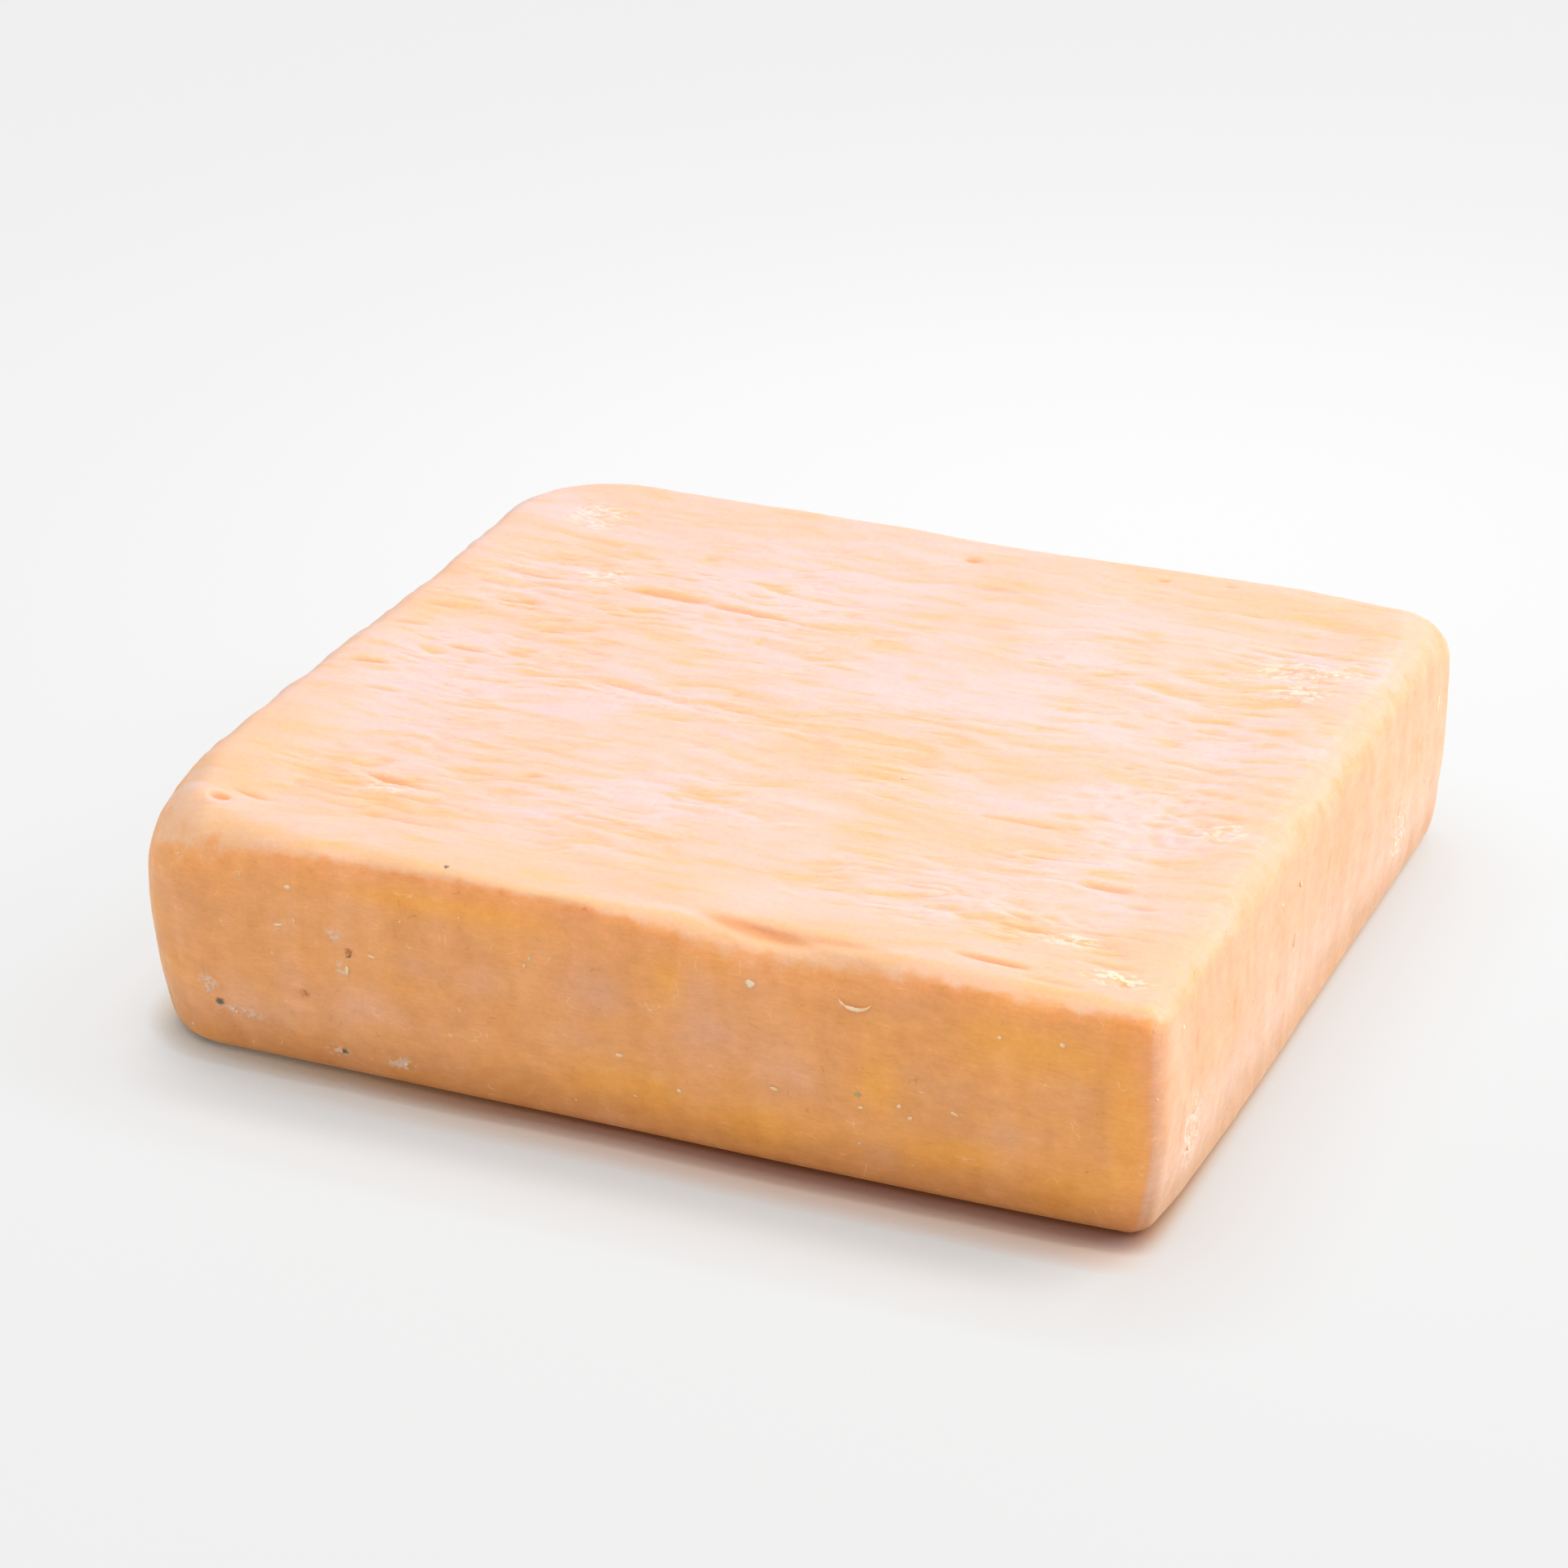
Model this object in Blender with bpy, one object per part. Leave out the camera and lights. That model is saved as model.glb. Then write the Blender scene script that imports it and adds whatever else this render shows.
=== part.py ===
"""A whole square soft cheese with a washed rind, lying on one of its broad faces.

It is one solid piece. The body is a box with rounded edges, pulled out of true
the way a soft cheese settles: the corners differ, the walls belly out and tuck
under, the rim stands a little above the middle, and hands and the draining mat
have left hollows and long low wrinkles in the rind.

Metres, +Z up. The origin is on the resting face, under the middle of the body.
+X runs along the front wall, and +Y from the front wall to the back one.
"""

import math

import bpy
from mathutils import Vector, noise

# Overall sizes
WIDTH = 0.196
DEPTH = 0.182
HEIGHT = 0.0472

# Radii of the rim, of the bottom edge, and of the upright corners, which are
# keyed by the signs of their X and Y and are never less than the other two
RIM_RADIUS = 0.0042
BASE_RADIUS = 0.0032
CORNER_RADIUS = {
    (-1, -1): 0.016,
    (1, -1): 0.0036,
    (1, 1): 0.009,
    (-1, 1): 0.025,
}

# Cells of the surface grid, and how strongly they crowd towards the edges
CELLS_X = 50
CELLS_Y = 46
CELLS_Z = 12
CROWDING = 0.62
BASE_RINGS = 3

# How far each corner of the plan is moved
CORNER_SHIFT = {
    (-1, -1): (0.0002, 0.0021),
    (1, -1): (-0.0023, -0.0006),
    (1, 1): (0.0000, 0.0005),
    (-1, 1): (0.0012, 0.0000),
}

# How far the top is raised or lowered at each corner
CORNER_RISE = {
    (-1, -1): -0.0013,
    (1, -1): -0.0023,
    (1, 1): -0.0019,
    (-1, 1): -0.0007,
}

# The resting face: the angle at which the bottom edge leaves it, how far its
# sides draw in at their middles, and the power of its corners, where 2 is a
# round corner, 1 a straight cut, and under 1 one that draws in
BASE_ANGLE = math.radians(20)
BASE_BOW = 0.0005
BASE_CORNER_POWER = 0.9

# The walls: the belly at half height, and how far each tucks in at the floor
BELLY = 0.0008
TUCK_LEFT = 0.0002
TUCK_RIGHT = 0.0002
TUCK_FRONT = 0.0035
TUCK_BACK = 0.0050

# How much further the foot of a corner is drawn in. The power keeps it near
# the corner.
CORNER_TUCK = {
    (-1, -1): (0.0016, -0.0006),
    (1, -1): (-0.0029, 0.0017),
}
CORNER_TUCK_POWER = 8

# Softer stretches of the rim, and two sharper: place on the plan, reach, and
# how much is added to the radius
SOFT_RIM = (
    (0.030, -0.093, 0.017, 0.0065),
    (-0.015, -0.093, 0.022, -0.0018),
    (-0.095, -0.088, 0.022, 0.0100),
    (-0.100, 0.010, 0.060, 0.0025),
    (0.000, 0.093, 0.070, 0.0020),
    (0.096, 0.089, 0.018, 0.0050),
    (0.100, 0.000, 0.050, 0.0015),
    (0.098, -0.091, 0.014, -0.0008),
)

# The middle of the top lies lower than the band along its edge
RIM_BAND = 0.017
SAG = 0.0011

# Hollows and swellings of the top: centre, half length along X, half width
# along Y, and depth, with swellings negative
HOLLOWS = (
    (0.027, -0.0840, 0.018, 0.0032, 0.0005),
    (-0.072, -0.070, 0.022, 0.0050, 0.0008),
    (-0.050, 0.058, 0.030, 0.0045, 0.0009),
    (0.066, 0.048, 0.018, 0.0040, 0.0008),
    (-0.078, 0.014, 0.014, 0.0060, 0.0007),
    (0.020, 0.006, 0.040, 0.0110, -0.0006),
    (0.074, -0.022, 0.012, 0.0140, 0.0005),
)

# Uneven ground of the rind: broad swells all over, and wrinkles along X on top
SWELL_SIZE = 0.034
SWELL_HEIGHT = 0.0011
WRINKLE_LENGTH = 0.030
WRINKLE_WIDTH = 0.0085
WRINKLE_HEIGHT = 0.0005
FADE_AT_FLOOR = 0.006

RIND_COLOUR = (0.86, 0.50, 0.25, 1.0)
RIND_ROUGHNESS = 0.55

HALF_X = WIDTH / 2
HALF_Y = DEPTH / 2


def clear_scene():
    for item in list(bpy.data.objects):
        bpy.data.objects.remove(item, do_unlink=True)


def clamp(value, low, high):
    return max(low, min(high, value))


def ease(value):
    """Rises smoothly from 0 to 1 as value does."""
    value = clamp(value, 0.0, 1.0)
    return value * value * (3.0 - 2.0 * value)


def stops(cells, low, high):
    """Grid lines from low to high, closer together near both ends."""
    middle, half = (low + high) / 2, (high - low) / 2
    found = []
    for step in range(cells + 1):
        share = 2.0 * step / cells - 1.0
        bent = math.sin(share * math.pi / 2)
        found.append(middle + half * ((1 - CROWDING) * share + CROWDING * bent))
    return found


def corner_blend(values, x, y):
    """Blends a value kept for each corner of the plan."""
    right, back = (1 + x / HALF_X) / 2, (1 + y / HALF_Y) / 2
    total = 0.0
    for (side_x, side_y), value in values.items():
        share_x = right if side_x > 0 else 1 - right
        share_y = back if side_y > 0 else 1 - back
        total += value * share_x * share_y
    return total


def rim_radius(x, y):
    """The rim's radius, which differs where the cheese was pressed or handled."""
    radius = RIM_RADIUS
    for place_x, place_y, reach, extra in SOFT_RIM:
        away = math.hypot(x - place_x, y - place_y) / reach
        radius += extra * math.exp(-away * away)
    return radius


def rounded_box(x, y, z):
    """A point of the plain box's surface, moved onto the box with round edges.

    Returns the point and the direction that faces out of the surface there.
    """
    upper = z >= HEIGHT / 2
    radius = rim_radius(x, y) if upper else BASE_RADIUS
    flattest = 0.0 if upper else BASE_ANGLE
    along_wall = HEIGHT - z if upper else z
    along_face = min(HALF_X - abs(x), HALF_Y - abs(y))
    up_wall, over_face = min(along_wall, radius), min(along_face, radius)
    share = (1 + (up_wall - over_face) / radius) / 2
    turn = flattest + (math.pi / 2 - flattest) * share
    inset = radius * (1 - math.sin(turn))
    rise = along_wall - up_wall + radius * (math.cos(flattest) - math.cos(turn))

    corner = max(CORNER_RADIUS[1 if x > 0 else -1, 1 if y > 0 else -1], radius)
    core_x = clamp(x, corner - HALF_X, HALF_X - corner)
    core_y = clamp(y, corner - HALF_Y, HALF_Y - corner)
    from_core = Vector((x - core_x, y - core_y))
    resting = 0.0 if upper else 1 - ease(share * 2)
    power = 2 + (BASE_CORNER_POWER - 2) * resting
    spread = abs(from_core.x) ** power + abs(from_core.y) ** power
    outward = from_core / spread ** (1 / power) if spread > 0 else Vector((0, 0))
    reach = max(abs(from_core.x), abs(from_core.y)) + over_face - inset
    bow = BASE_BOW * resting * (1 - min(abs(x) / HALF_X, abs(y) / HALF_Y) ** 2)
    plan = Vector((core_x, core_y)) + outward * (reach - bow)

    facing = from_core.normalized() * math.sin(turn)
    if upper:
        return (
            Vector((plan.x, plan.y, HEIGHT - rise)),
            Vector((facing.x, facing.y, math.cos(turn))),
        )
    return (
        Vector((plan.x, plan.y, rise)),
        Vector((facing.x, facing.y, -math.cos(turn))),
    )


def tuck(x, y):
    """How far the wall leans in at the floor, by which walls are near."""
    left, right = ease(-x / HALF_X), ease(x / HALF_X)
    front, back = ease(-y / HALF_Y), ease(y / HALF_Y)
    in_x = TUCK_LEFT * left - TUCK_RIGHT * right
    in_y = TUCK_FRONT * front - TUCK_BACK * back
    return Vector((in_x, in_y))


def corner_tuck(x, y):
    """How much further the foot of a near corner is drawn in."""
    total = Vector((0, 0))
    for (side_x, side_y), drawn_in in CORNER_TUCK.items():
        near = (1 + side_x * x / HALF_X) * (1 + side_y * y / HALF_Y) / 4
        total += Vector(drawn_in) * near ** CORNER_TUCK_POWER
    return total


def settle(point, x, y):
    """Pulls the rounded box out of true."""
    height = clamp(point.z / HEIGHT, 0.0, 1.0)
    belly = BELLY * (1 - (2 * height - 1) ** 2)
    lean = tuck(x, y) * (1 - height) ** 2 + corner_tuck(x, y) * (1 - height) ** 4
    shift_x = corner_blend({k: v[0] for k, v in CORNER_SHIFT.items()}, x, y)
    shift_y = corner_blend({k: v[1] for k, v in CORNER_SHIFT.items()}, x, y)
    return Vector(
        (
            point.x * (1 + belly / HALF_X) + lean.x + shift_x,
            point.y * (1 + belly / HALF_Y) + lean.y + shift_y,
            point.z + corner_blend(CORNER_RISE, x, y) * height,
        )
    )


def top_relief(point):
    """Height of the top's own ground: the sag inside the rim, and the hollows."""
    from_edge = min(HALF_X - abs(point.x), HALF_Y - abs(point.y))
    height = -SAG * ease((from_edge - RIM_BAND / 2) / RIM_BAND)
    for centre_x, centre_y, half_length, half_width, depth in HOLLOWS:
        along = (point.x - centre_x) / half_length
        across = (point.y - centre_y) / half_width
        height -= depth * math.exp(-along * along - across * across)
    wrinkle_at = Vector(
        (
            point.x / WRINKLE_LENGTH,
            point.y / WRINKLE_WIDTH + noise.noise(point * 30.0),
            7.0,
        )
    )
    return height + WRINKLE_HEIGHT * noise.noise(wrinkle_at)


def relief(point, facing):
    """How far the rind stands out from the settled box, along facing."""
    swell = SWELL_HEIGHT * noise.noise(point / SWELL_SIZE + Vector((3.7, 1.3, 9.1)))
    up = ease((facing.z - 0.3) / 0.6)
    height = swell * (1 - 0.5 * up) + up * top_relief(point)
    return height * ease(point.z / FADE_AT_FLOOR)


def surface_point(x, y, z):
    """The cheese's surface for a point of the plain box's surface."""
    point, facing = rounded_box(x, y, z)
    point = settle(point, x, y)
    return point + facing * relief(point, facing)


def cheese_mesh():
    """A closed grid over the body, with one flat face to rest on."""
    lines_x = stops(CELLS_X, -HALF_X, HALF_X)
    lines_y = stops(CELLS_Y, -HALF_Y, HALF_Y)
    lines_z = stops(CELLS_Z, 0.0, HEIGHT)
    numbers, points, faces = {}, [], []

    def vertex(i, j, k):
        if (i, j, k) not in numbers:
            numbers[i, j, k] = len(points)
            points.append(surface_point(lines_x[i], lines_y[j], lines_z[k]))
        return numbers[i, j, k]

    for i in range(CELLS_X):
        for j in range(CELLS_Y):
            cell = ((i, j), (i + 1, j), (i + 1, j + 1), (i, j + 1))
            faces.append([vertex(a, b, CELLS_Z) for a, b in cell])
            ring = min(i, j, CELLS_X - 1 - i, CELLS_Y - 1 - j)
            if ring < BASE_RINGS:
                faces.append([vertex(a, b, 0) for a, b in reversed(cell)])
    for k in range(CELLS_Z):
        for i in range(CELLS_X):
            front = ((i, 0, k), (i + 1, 0, k), (i + 1, 0, k + 1), (i, 0, k + 1))
            faces.append([vertex(*p) for p in front])
            faces.append([vertex(a, CELLS_Y, c) for a, b, c in reversed(front)])
        for j in range(CELLS_Y):
            right = ((j, k), (j + 1, k), (j + 1, k + 1), (j, k + 1))
            faces.append([vertex(CELLS_X, b, c) for b, c in right])
            faces.append([vertex(0, b, c) for b, c in reversed(right)])

    low, high_x, high_y = BASE_RINGS, CELLS_X - BASE_RINGS, CELLS_Y - BASE_RINGS
    loop = [(i, low) for i in range(low, high_x)]
    loop += [(high_x, j) for j in range(low, high_y)]
    loop += [(i, high_y) for i in range(high_x, low, -1)]
    loop += [(low, j) for j in range(high_y, low, -1)]
    faces.append([vertex(i, j, 0) for i, j in reversed(loop)])

    mesh = bpy.data.meshes.new("cheese")
    mesh.from_pydata(points, [], faces)
    mesh.shade_smooth()
    return mesh


def rind_material():
    material = bpy.data.materials.new("washed_rind")
    material.use_nodes = True
    shader = material.node_tree.nodes["Principled BSDF"]
    shader.inputs["Base Color"].default_value = RIND_COLOUR
    shader.inputs["Roughness"].default_value = RIND_ROUGHNESS
    shader.inputs["Metallic"].default_value = 0.0
    return material


def main():
    clear_scene()
    cheese = bpy.data.objects.new("cheese", cheese_mesh())
    cheese.data.materials.append(rind_material())
    bpy.context.scene.collection.objects.link(cheese)


main()
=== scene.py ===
import math
import random

import bmesh
import bpy
from mathutils import Matrix, Vector, noise


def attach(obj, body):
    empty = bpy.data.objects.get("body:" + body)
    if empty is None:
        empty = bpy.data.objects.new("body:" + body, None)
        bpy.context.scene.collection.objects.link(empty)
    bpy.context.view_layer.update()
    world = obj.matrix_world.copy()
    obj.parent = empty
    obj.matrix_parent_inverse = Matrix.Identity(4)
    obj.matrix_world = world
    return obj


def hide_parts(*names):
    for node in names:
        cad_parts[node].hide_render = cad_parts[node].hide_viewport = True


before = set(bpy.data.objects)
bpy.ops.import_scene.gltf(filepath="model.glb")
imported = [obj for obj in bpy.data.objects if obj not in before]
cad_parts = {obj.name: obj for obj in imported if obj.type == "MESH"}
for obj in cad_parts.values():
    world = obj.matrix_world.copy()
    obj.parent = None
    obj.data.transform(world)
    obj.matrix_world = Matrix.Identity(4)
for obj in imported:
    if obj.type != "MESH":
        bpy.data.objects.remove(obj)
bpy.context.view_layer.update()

# The body: a box with round edges, pulled out of true as it settled. The sizes are
# the solid's own, in metres. Corners are keyed by the signs of their X and Y.
WIDTH = 0.196
DEPTH = 0.182
HEIGHT = 0.0472
HALF_X = WIDTH / 2
HALF_Y = DEPTH / 2

# Radii of the rim, of the bottom edge, and of the upright corners
RIM_RADIUS = 0.0042
BASE_RADIUS = 0.0032
CORNER_RADIUS = {
    (-1, -1): 0.016,
    (1, -1): 0.0036,
    (1, 1): 0.009,
    (-1, 1): 0.025,
}

# How far each corner is moved over the table, and how far its top is raised
CORNER_SHIFT = {
    (-1, -1): (0.0002, 0.0021),
    (1, -1): (-0.0023, -0.0006),
    (1, 1): (0.0000, 0.0005),
    (-1, 1): (0.0012, 0.0000),
}
CORNER_RISE = {
    (-1, -1): -0.0013,
    (1, -1): -0.0023,
    (1, 1): -0.0019,
    (-1, 1): -0.0007,
}

# The resting face: the angle at which the bottom edge leaves it, how far its sides
# draw in at their middles, and the power of its corners, where 2 is a round one
BASE_ANGLE = math.radians(20)
BASE_BOW = 0.0005
BASE_CORNER_POWER = 0.9

# The walls: the belly at half height, how far each tucks in at the floor, and how
# much further the foot of a corner does, where the power keeps it near the corner
BELLY = 0.0008
TUCK_LEFT = 0.0002
TUCK_RIGHT = 0.0002
TUCK_FRONT = 0.0035
TUCK_BACK = 0.0050
CORNER_TUCK = {
    (-1, -1): (0.0016, -0.0006),
    (1, -1): (-0.0029, 0.0017),
}
CORNER_TUCK_POWER = 8

# Softer and sharper stretches of the rim: place, reach, and addition to the radius
SOFT_RIM = (
    (0.030, -0.093, 0.017, 0.0065),
    (-0.015, -0.093, 0.022, -0.0018),
    (-0.095, -0.088, 0.022, 0.0100),
    (-0.100, 0.010, 0.060, 0.0025),
    (0.000, 0.093, 0.070, 0.0020),
    (0.096, 0.089, 0.018, 0.0050),
    (0.100, 0.000, 0.050, 0.0015),
    (0.098, -0.091, 0.014, -0.0008),
)

# The middle of the top lies lower than the band along its edge
RIM_BAND = 0.017
SAG = 0.0011

# Hollows of the top: centre, half length along X, half width along Y, and depth,
# which is negative for a swelling
HOLLOWS = (
    (0.027, -0.0840, 0.018, 0.0032, 0.0005),
    (-0.072, -0.070, 0.022, 0.0050, 0.0008),
    (-0.050, 0.058, 0.030, 0.0045, 0.0009),
    (0.066, 0.048, 0.018, 0.0040, 0.0008),
    (-0.078, 0.014, 0.014, 0.0060, 0.0007),
    (0.020, 0.006, 0.040, 0.0110, -0.0006),
    (0.074, -0.022, 0.012, 0.0140, 0.0005),
)

# Uneven ground of the rind: broad swells all over, and wrinkles along X on top
SWELL_SIZE = 0.034
SWELL_HEIGHT = 0.0011
WRINKLE_LENGTH = 0.030
WRINKLE_WIDTH = 0.0085
WRINKLE_HEIGHT = 0.0005
FADE_AT_FLOOR = 0.006

# Cells of the rind's fine grid, and how strongly they crowd towards the edges. Under
# the cheese, inside the outer rings, they are joined into coarse ones.
CELLS_X = 180
CELLS_Y = 264
CELLS_Z = 42
CROWDING = 0.12
BASE_RINGS = 6
COARSE = 4

# Marks cut into the rind. A place is given on a side of the plain box, in mm:
# X and Y on top, X and Z on the front and back, Y and Z on the left and right.
# Then come the half length, half width, depth, and turn in degrees.
MARKS = {
    "top": (
        (-47, 37.5, 9, 1.5, 0.55, -2),
        (-30, 36.5, 9, 1.1, 0.55, -3),
        (-15, 35, 6, 0.9, 0.3, -3),
        (-79, 38, 6, 0.9, 0.45, -3),
        (-72, 34, 7, 0.8, 0.40, -3),
        (-82, 30, 4, 1.0, 0.35, 6),
        (-60, 31, 6, 1.0, 0.30, 0),
        (-74, 24, 4, 0.7, 0.50, 4),
        (-85, 16, 5, 1.0, 0.40, 8),
        (-62, 14, 8, 1.1, 0.30, -4),
        (-88, 5, 4, 0.9, 0.40, 12),
        (-73, -1, 4, 0.8, 0.50, 0),
        (-80, -9, 5, 0.8, 0.35, -6),
        (-86, -15, 4, 0.8, 0.50, 10),
        (-79, -25, 5, 0.8, 0.30, 5),
        (-66, -20, 6, 0.9, 0.25, -3),
        (-52, -6, 7, 1.2, 0.30, 12),
        (-36, -5, 9, 1.3, 0.40, -5),
        (-22, -8, 5, 1.2, 0.30, -12),
        (-60, -58, 4.5, 0.8, 0.80, -8),
        (-70, -66, 7, 1.0, 0.30, -5),
        (-50, -72, 12, 1.5, 0.35, -3),
        (-80, -73, 4, 0.8, 0.50, -8),
        (-85, -78, 1.8, 1.3, 0.90, 0),
        (-36, -47, 1.6, 0.7, 0.45, 0),
        (-20, -60, 8, 1.3, 0.25, -3),
        (24, -87.6, 11, 1.6, 0.90, -4),
        (39, -86.8, 8, 1.2, 0.40, -2),
        (66, -83, 7, 0.9, 0.65, -4),
        (78, -86, 5, 0.8, 0.30, -2),
        (67, -68, 7, 0.7, 0.45, -3),
        (78, -70, 6, 0.7, 0.45, 0),
        (62, -74, 5, 0.7, 0.30, -4),
        (84, -77, 6, 0.7, 0.35, -2),
        (89, -82, 1.6, 1.2, 0.50, 0),
        (60, -42, 4, 0.6, 0.45, 0),
        (74, -49, 5, 1.0, 0.50, 0),
        (82, -54, 3, 0.9, 0.35, 0),
        (50, -30, 7, 1.0, 0.30, -4),
        (84, -16, 5, 0.9, 0.30, -3),
        (77, 2, 8, 1.0, 0.30, -3),
        (62, -2, 1.3, 0.8, 0.45, 0),
        (33, 39, 1.5, 1.1, 0.25, 0),
        (17, 48.5, 6, 1.3, 0.30, -2),
        (11, 66, 5, 1.2, 0.30, -3),
        (2, 77, 1.8, 1.2, 0.60, 0),
        (41, 81, 1.4, 0.7, 0.50, 0),
        (54, 83, 1.3, 0.7, 0.40, 0),
        (62, 72, 3, 0.6, 0.30, 0),
        (70, 57, 5, 0.9, 0.35, -3),
        (86, 58, 6, 0.6, 0.40, -4),
        (78, 50, 6, 0.9, 0.40, -4),
        (84, 42, 5, 0.8, 0.40, 0),
        (90, 28, 1.3, 0.6, 0.35, 0),
    ),
    "front": (
        (-51.3, 27.7, 1.2, 1.1, 0.8, 0),
        (-60.9, 17.2, 1.4, 1.0, 0.7, 0),
        (-1, 30, 2.0, 0.7, 0.4, -30),
        (-80, 31, 4, 0.8, 0.3, -20),
        (-88, 19, 5, 0.8, 0.35, 80),
        (38, 15, 4, 1.5, 0.2, 70),
        (80, 20, 6, 0.8, 0.2, 60),
        (20, 27, 6, 2.5, 0.25, 90),
        (-24, 8, 2.5, 0.8, 0.3, 15),
        (62, 30, 3.0, 0.9, 0.2, 10),
    ),
    "right": (
        (50, 17, 5, 0.9, 0.7, 72),
        (30, 24, 1.4, 0.8, 0.5, 0),
        (5, 30, 2.0, 0.7, 0.4, 80),
        (-25, 20, 1.8, 0.8, 0.4, 70),
        (-52, 28, 3.4, 0.8, 0.3, 85),
        (-80, 20, 5.0, 0.9, 0.45, 80),
        (-72, 33, 2.0, 0.8, 0.4, 80),
        (66, 26, 2.2, 0.8, 0.4, 85),
        (76, 15, 1.6, 0.9, 0.4, 0),
    ),
    "back": (
        (-60, 25, 1.6, 1.0, 0.7, 0),
        (-22, 31, 4.0, 0.8, 0.4, -20),
        (14, 16, 1.4, 1.2, 0.8, 0),
        (38, 28, 6.0, 0.8, 0.35, 65),
        (71, 20, 2.0, 0.8, 0.5, 30),
        (-40, 12, 3.0, 0.9, 0.35, 10),
    ),
    "left": (
        (-58, 28, 3.0, 0.8, 0.4, 80),
        (-30, 18, 1.5, 1.1, 0.7, 0),
        (8, 30, 5.0, 0.8, 0.35, 75),
        (36, 15, 1.8, 1.0, 0.7, 0),
        (60, 24, 3.5, 0.8, 0.4, 85),
    ),
}

# Patches of the rind, in mm as the marks are: half length and half width.
# Flaking is dry and cracked white, and mould is pale fuzz with a grey middle.
FLAKING = {
    "top": (
        (-63, 42, 5, 5),
        (-78, 70, 6, 6),
        (80, 50, 11, 5),
        (82, 40, 6, 4),
        (87, -81, 6, 3),
        (74, -70, 6, 3),
        (86, -22, 5, 4),
        (-59, -61, 4, 2.5),
    ),
    "right": ((-74, 16, 6, 7), (52, 15, 6, 6)),
    "left": ((40, 25, 9, 6),),
    "back": ((30, 30, 9, 5),),
}
MOULD = {
    "front": (
        (-81, 15, 2.2, 2.2),
        (-75, 10, 5, 1.3),
        (-56, 6, 2.2, 1.4),
        (-43, 6, 3.2, 1.4),
        (-53, 24, 0.9, 2.2),
        (-54, 31, 1.8, 1.4),
    ),
    "back": ((46, 9, 4, 2), (-70, 12, 3, 2)),
    "left": ((-66, 10, 4, 2), (20, 8, 4, 2)),
}
# Small dents in a net, and short close wrinkles, both on top
DENTED = {"top": ((74, -20, 17, 15), (60, -62, 14, 6))}
WRINKLED = {
    "top": (
        (-62, 28, 26, 22),
        (-70, -6, 20, 20),
        (-60, -58, 18, 12),
        (-40, 50, 24, 14),
        (80, 50, 14, 22),
        (70, -68, 22, 10),
        (72, 18, 20, 16),
    ),
}

# Where the walls have a mauve bloom, and where they are bare and yellow
MAUVE = {
    "front": (
        (-48, 18, 5, 5),
        (-40, 28, 4, 3),
        (-68, 12, 16, 6),
        (-25, 28, 6, 4),
        (-4, 30, 9, 6),
        (17, 27, 7, 8),
        (-8, 19, 5, 5),
        (32, 23, 6, 6),
        (58, 26, 7, 4),
        (72, 18, 6, 3),
        (38, 8, 3, 3),
        (50, 9, 3, 4),
    ),
    "right": ((-20, 12, 60, 8), (40, 14, 40, 9)),
    "back": ((-40, 20, 12, 8), (20, 26, 10, 8), (60, 14, 9, 6)),
    "left": ((-40, 24, 12, 8), (10, 14, 14, 6), (55, 26, 9, 6)),
}
BARE = {
    "front": (
        (2, 12, 16, 6),
        (27, 9, 20, 5),
        (60, 12, 14, 5),
        (84, 10, 12, 8),
        (92, 24, 4, 20),
        (74, 36, 16, 6),
        (10, 36, 3, 4),
        (48, 24, 5, 9),
        (-36, 41, 20, 2.5),
    ),
    "right": ((-60, 24, 8, 5), (60, 18, 10, 6)),
    "back": ((-10, 12, 20, 6), (70, 26, 12, 8), (-70, 14, 12, 6)),
    "left": ((-20, 12, 16, 6), (40, 20, 12, 8)),
}

PATCHES = {
    "flaking": FLAKING,
    "mould": MOULD,
    "dented": DENTED,
    "wrinkled": WRINKLED,
    "mauve": MAUVE,
    "bare": BARE,
}

# Pale flakes that stand on the rind, in mm: place, half length, half width
FLAKES = {
    "front": (
        (25.3, 38.5, 1.0, 0.75),
        (0.3, 18, 0.7, 0.4),
        (11.3, 13, 0.5, 0.4),
        (29.3, 18, 0.8, 0.35),
        (52.3, 20, 0.4, 0.4),
        (54.3, 18, 0.5, 0.4),
        (62.3, 21, 0.9, 0.3),
        (81.3, 39, 0.5, 0.35),
        (-62.7, 39, 0.7, 0.45),
        (-64.7, 31, 0.9, 0.25),
        (-51.7, 24, 0.4, 1.0),
        (-46.7, 28, 0.8, 0.3),
        (45.3, 18, 0.5, 0.3),
        (70.3, 38, 0.4, 0.3),
    ),
    "right": (
        (76, 32, 0.5, 1.5),
        (-14, 35, 0.5, 0.6),
        (-80, 40, 0.5, 0.5),
        (-25, 36, 0.5, 0.5),
    ),
    "top": (
        (26, -22, 0.8, 0.3),
    ),
}

# Thickness of the flakes to each side of their middle, in mm, and the seed of all
# that is strewn
FLAKE_RISE = 0.28
SCATTER_SEED = 7

# The table: half its side, its glow, and its painted shades close to the cheese, narrow to
# wide: reach, depth in red, green and blue, and how full it is at left and right.
# The painted shades fall on the side that faces away from SHADE_FROM.
TABLE_HALF = 4
TABLE_GLOW = 0.79
TABLE_SHADES = (
    (0.0058, (1.47, 2.85, 4.50), 0.14, 0.00),
    (0.0120, (0.05, 0.70, 1.25), 0.00, 0.10),
    (0.0360, (0.12, 0.22, 0.28), 0.50, 1.50),
)
SHADE_FROM = Vector((0.20, 0.62, 0.76))

# A pool of light on the table behind the cheese: its middle, reach and strength
POOL_MIDDLE = (0.0, 0.20, 0.0)
POOL_REACH = 0.25
POOL_LIGHT = 0.14

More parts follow.
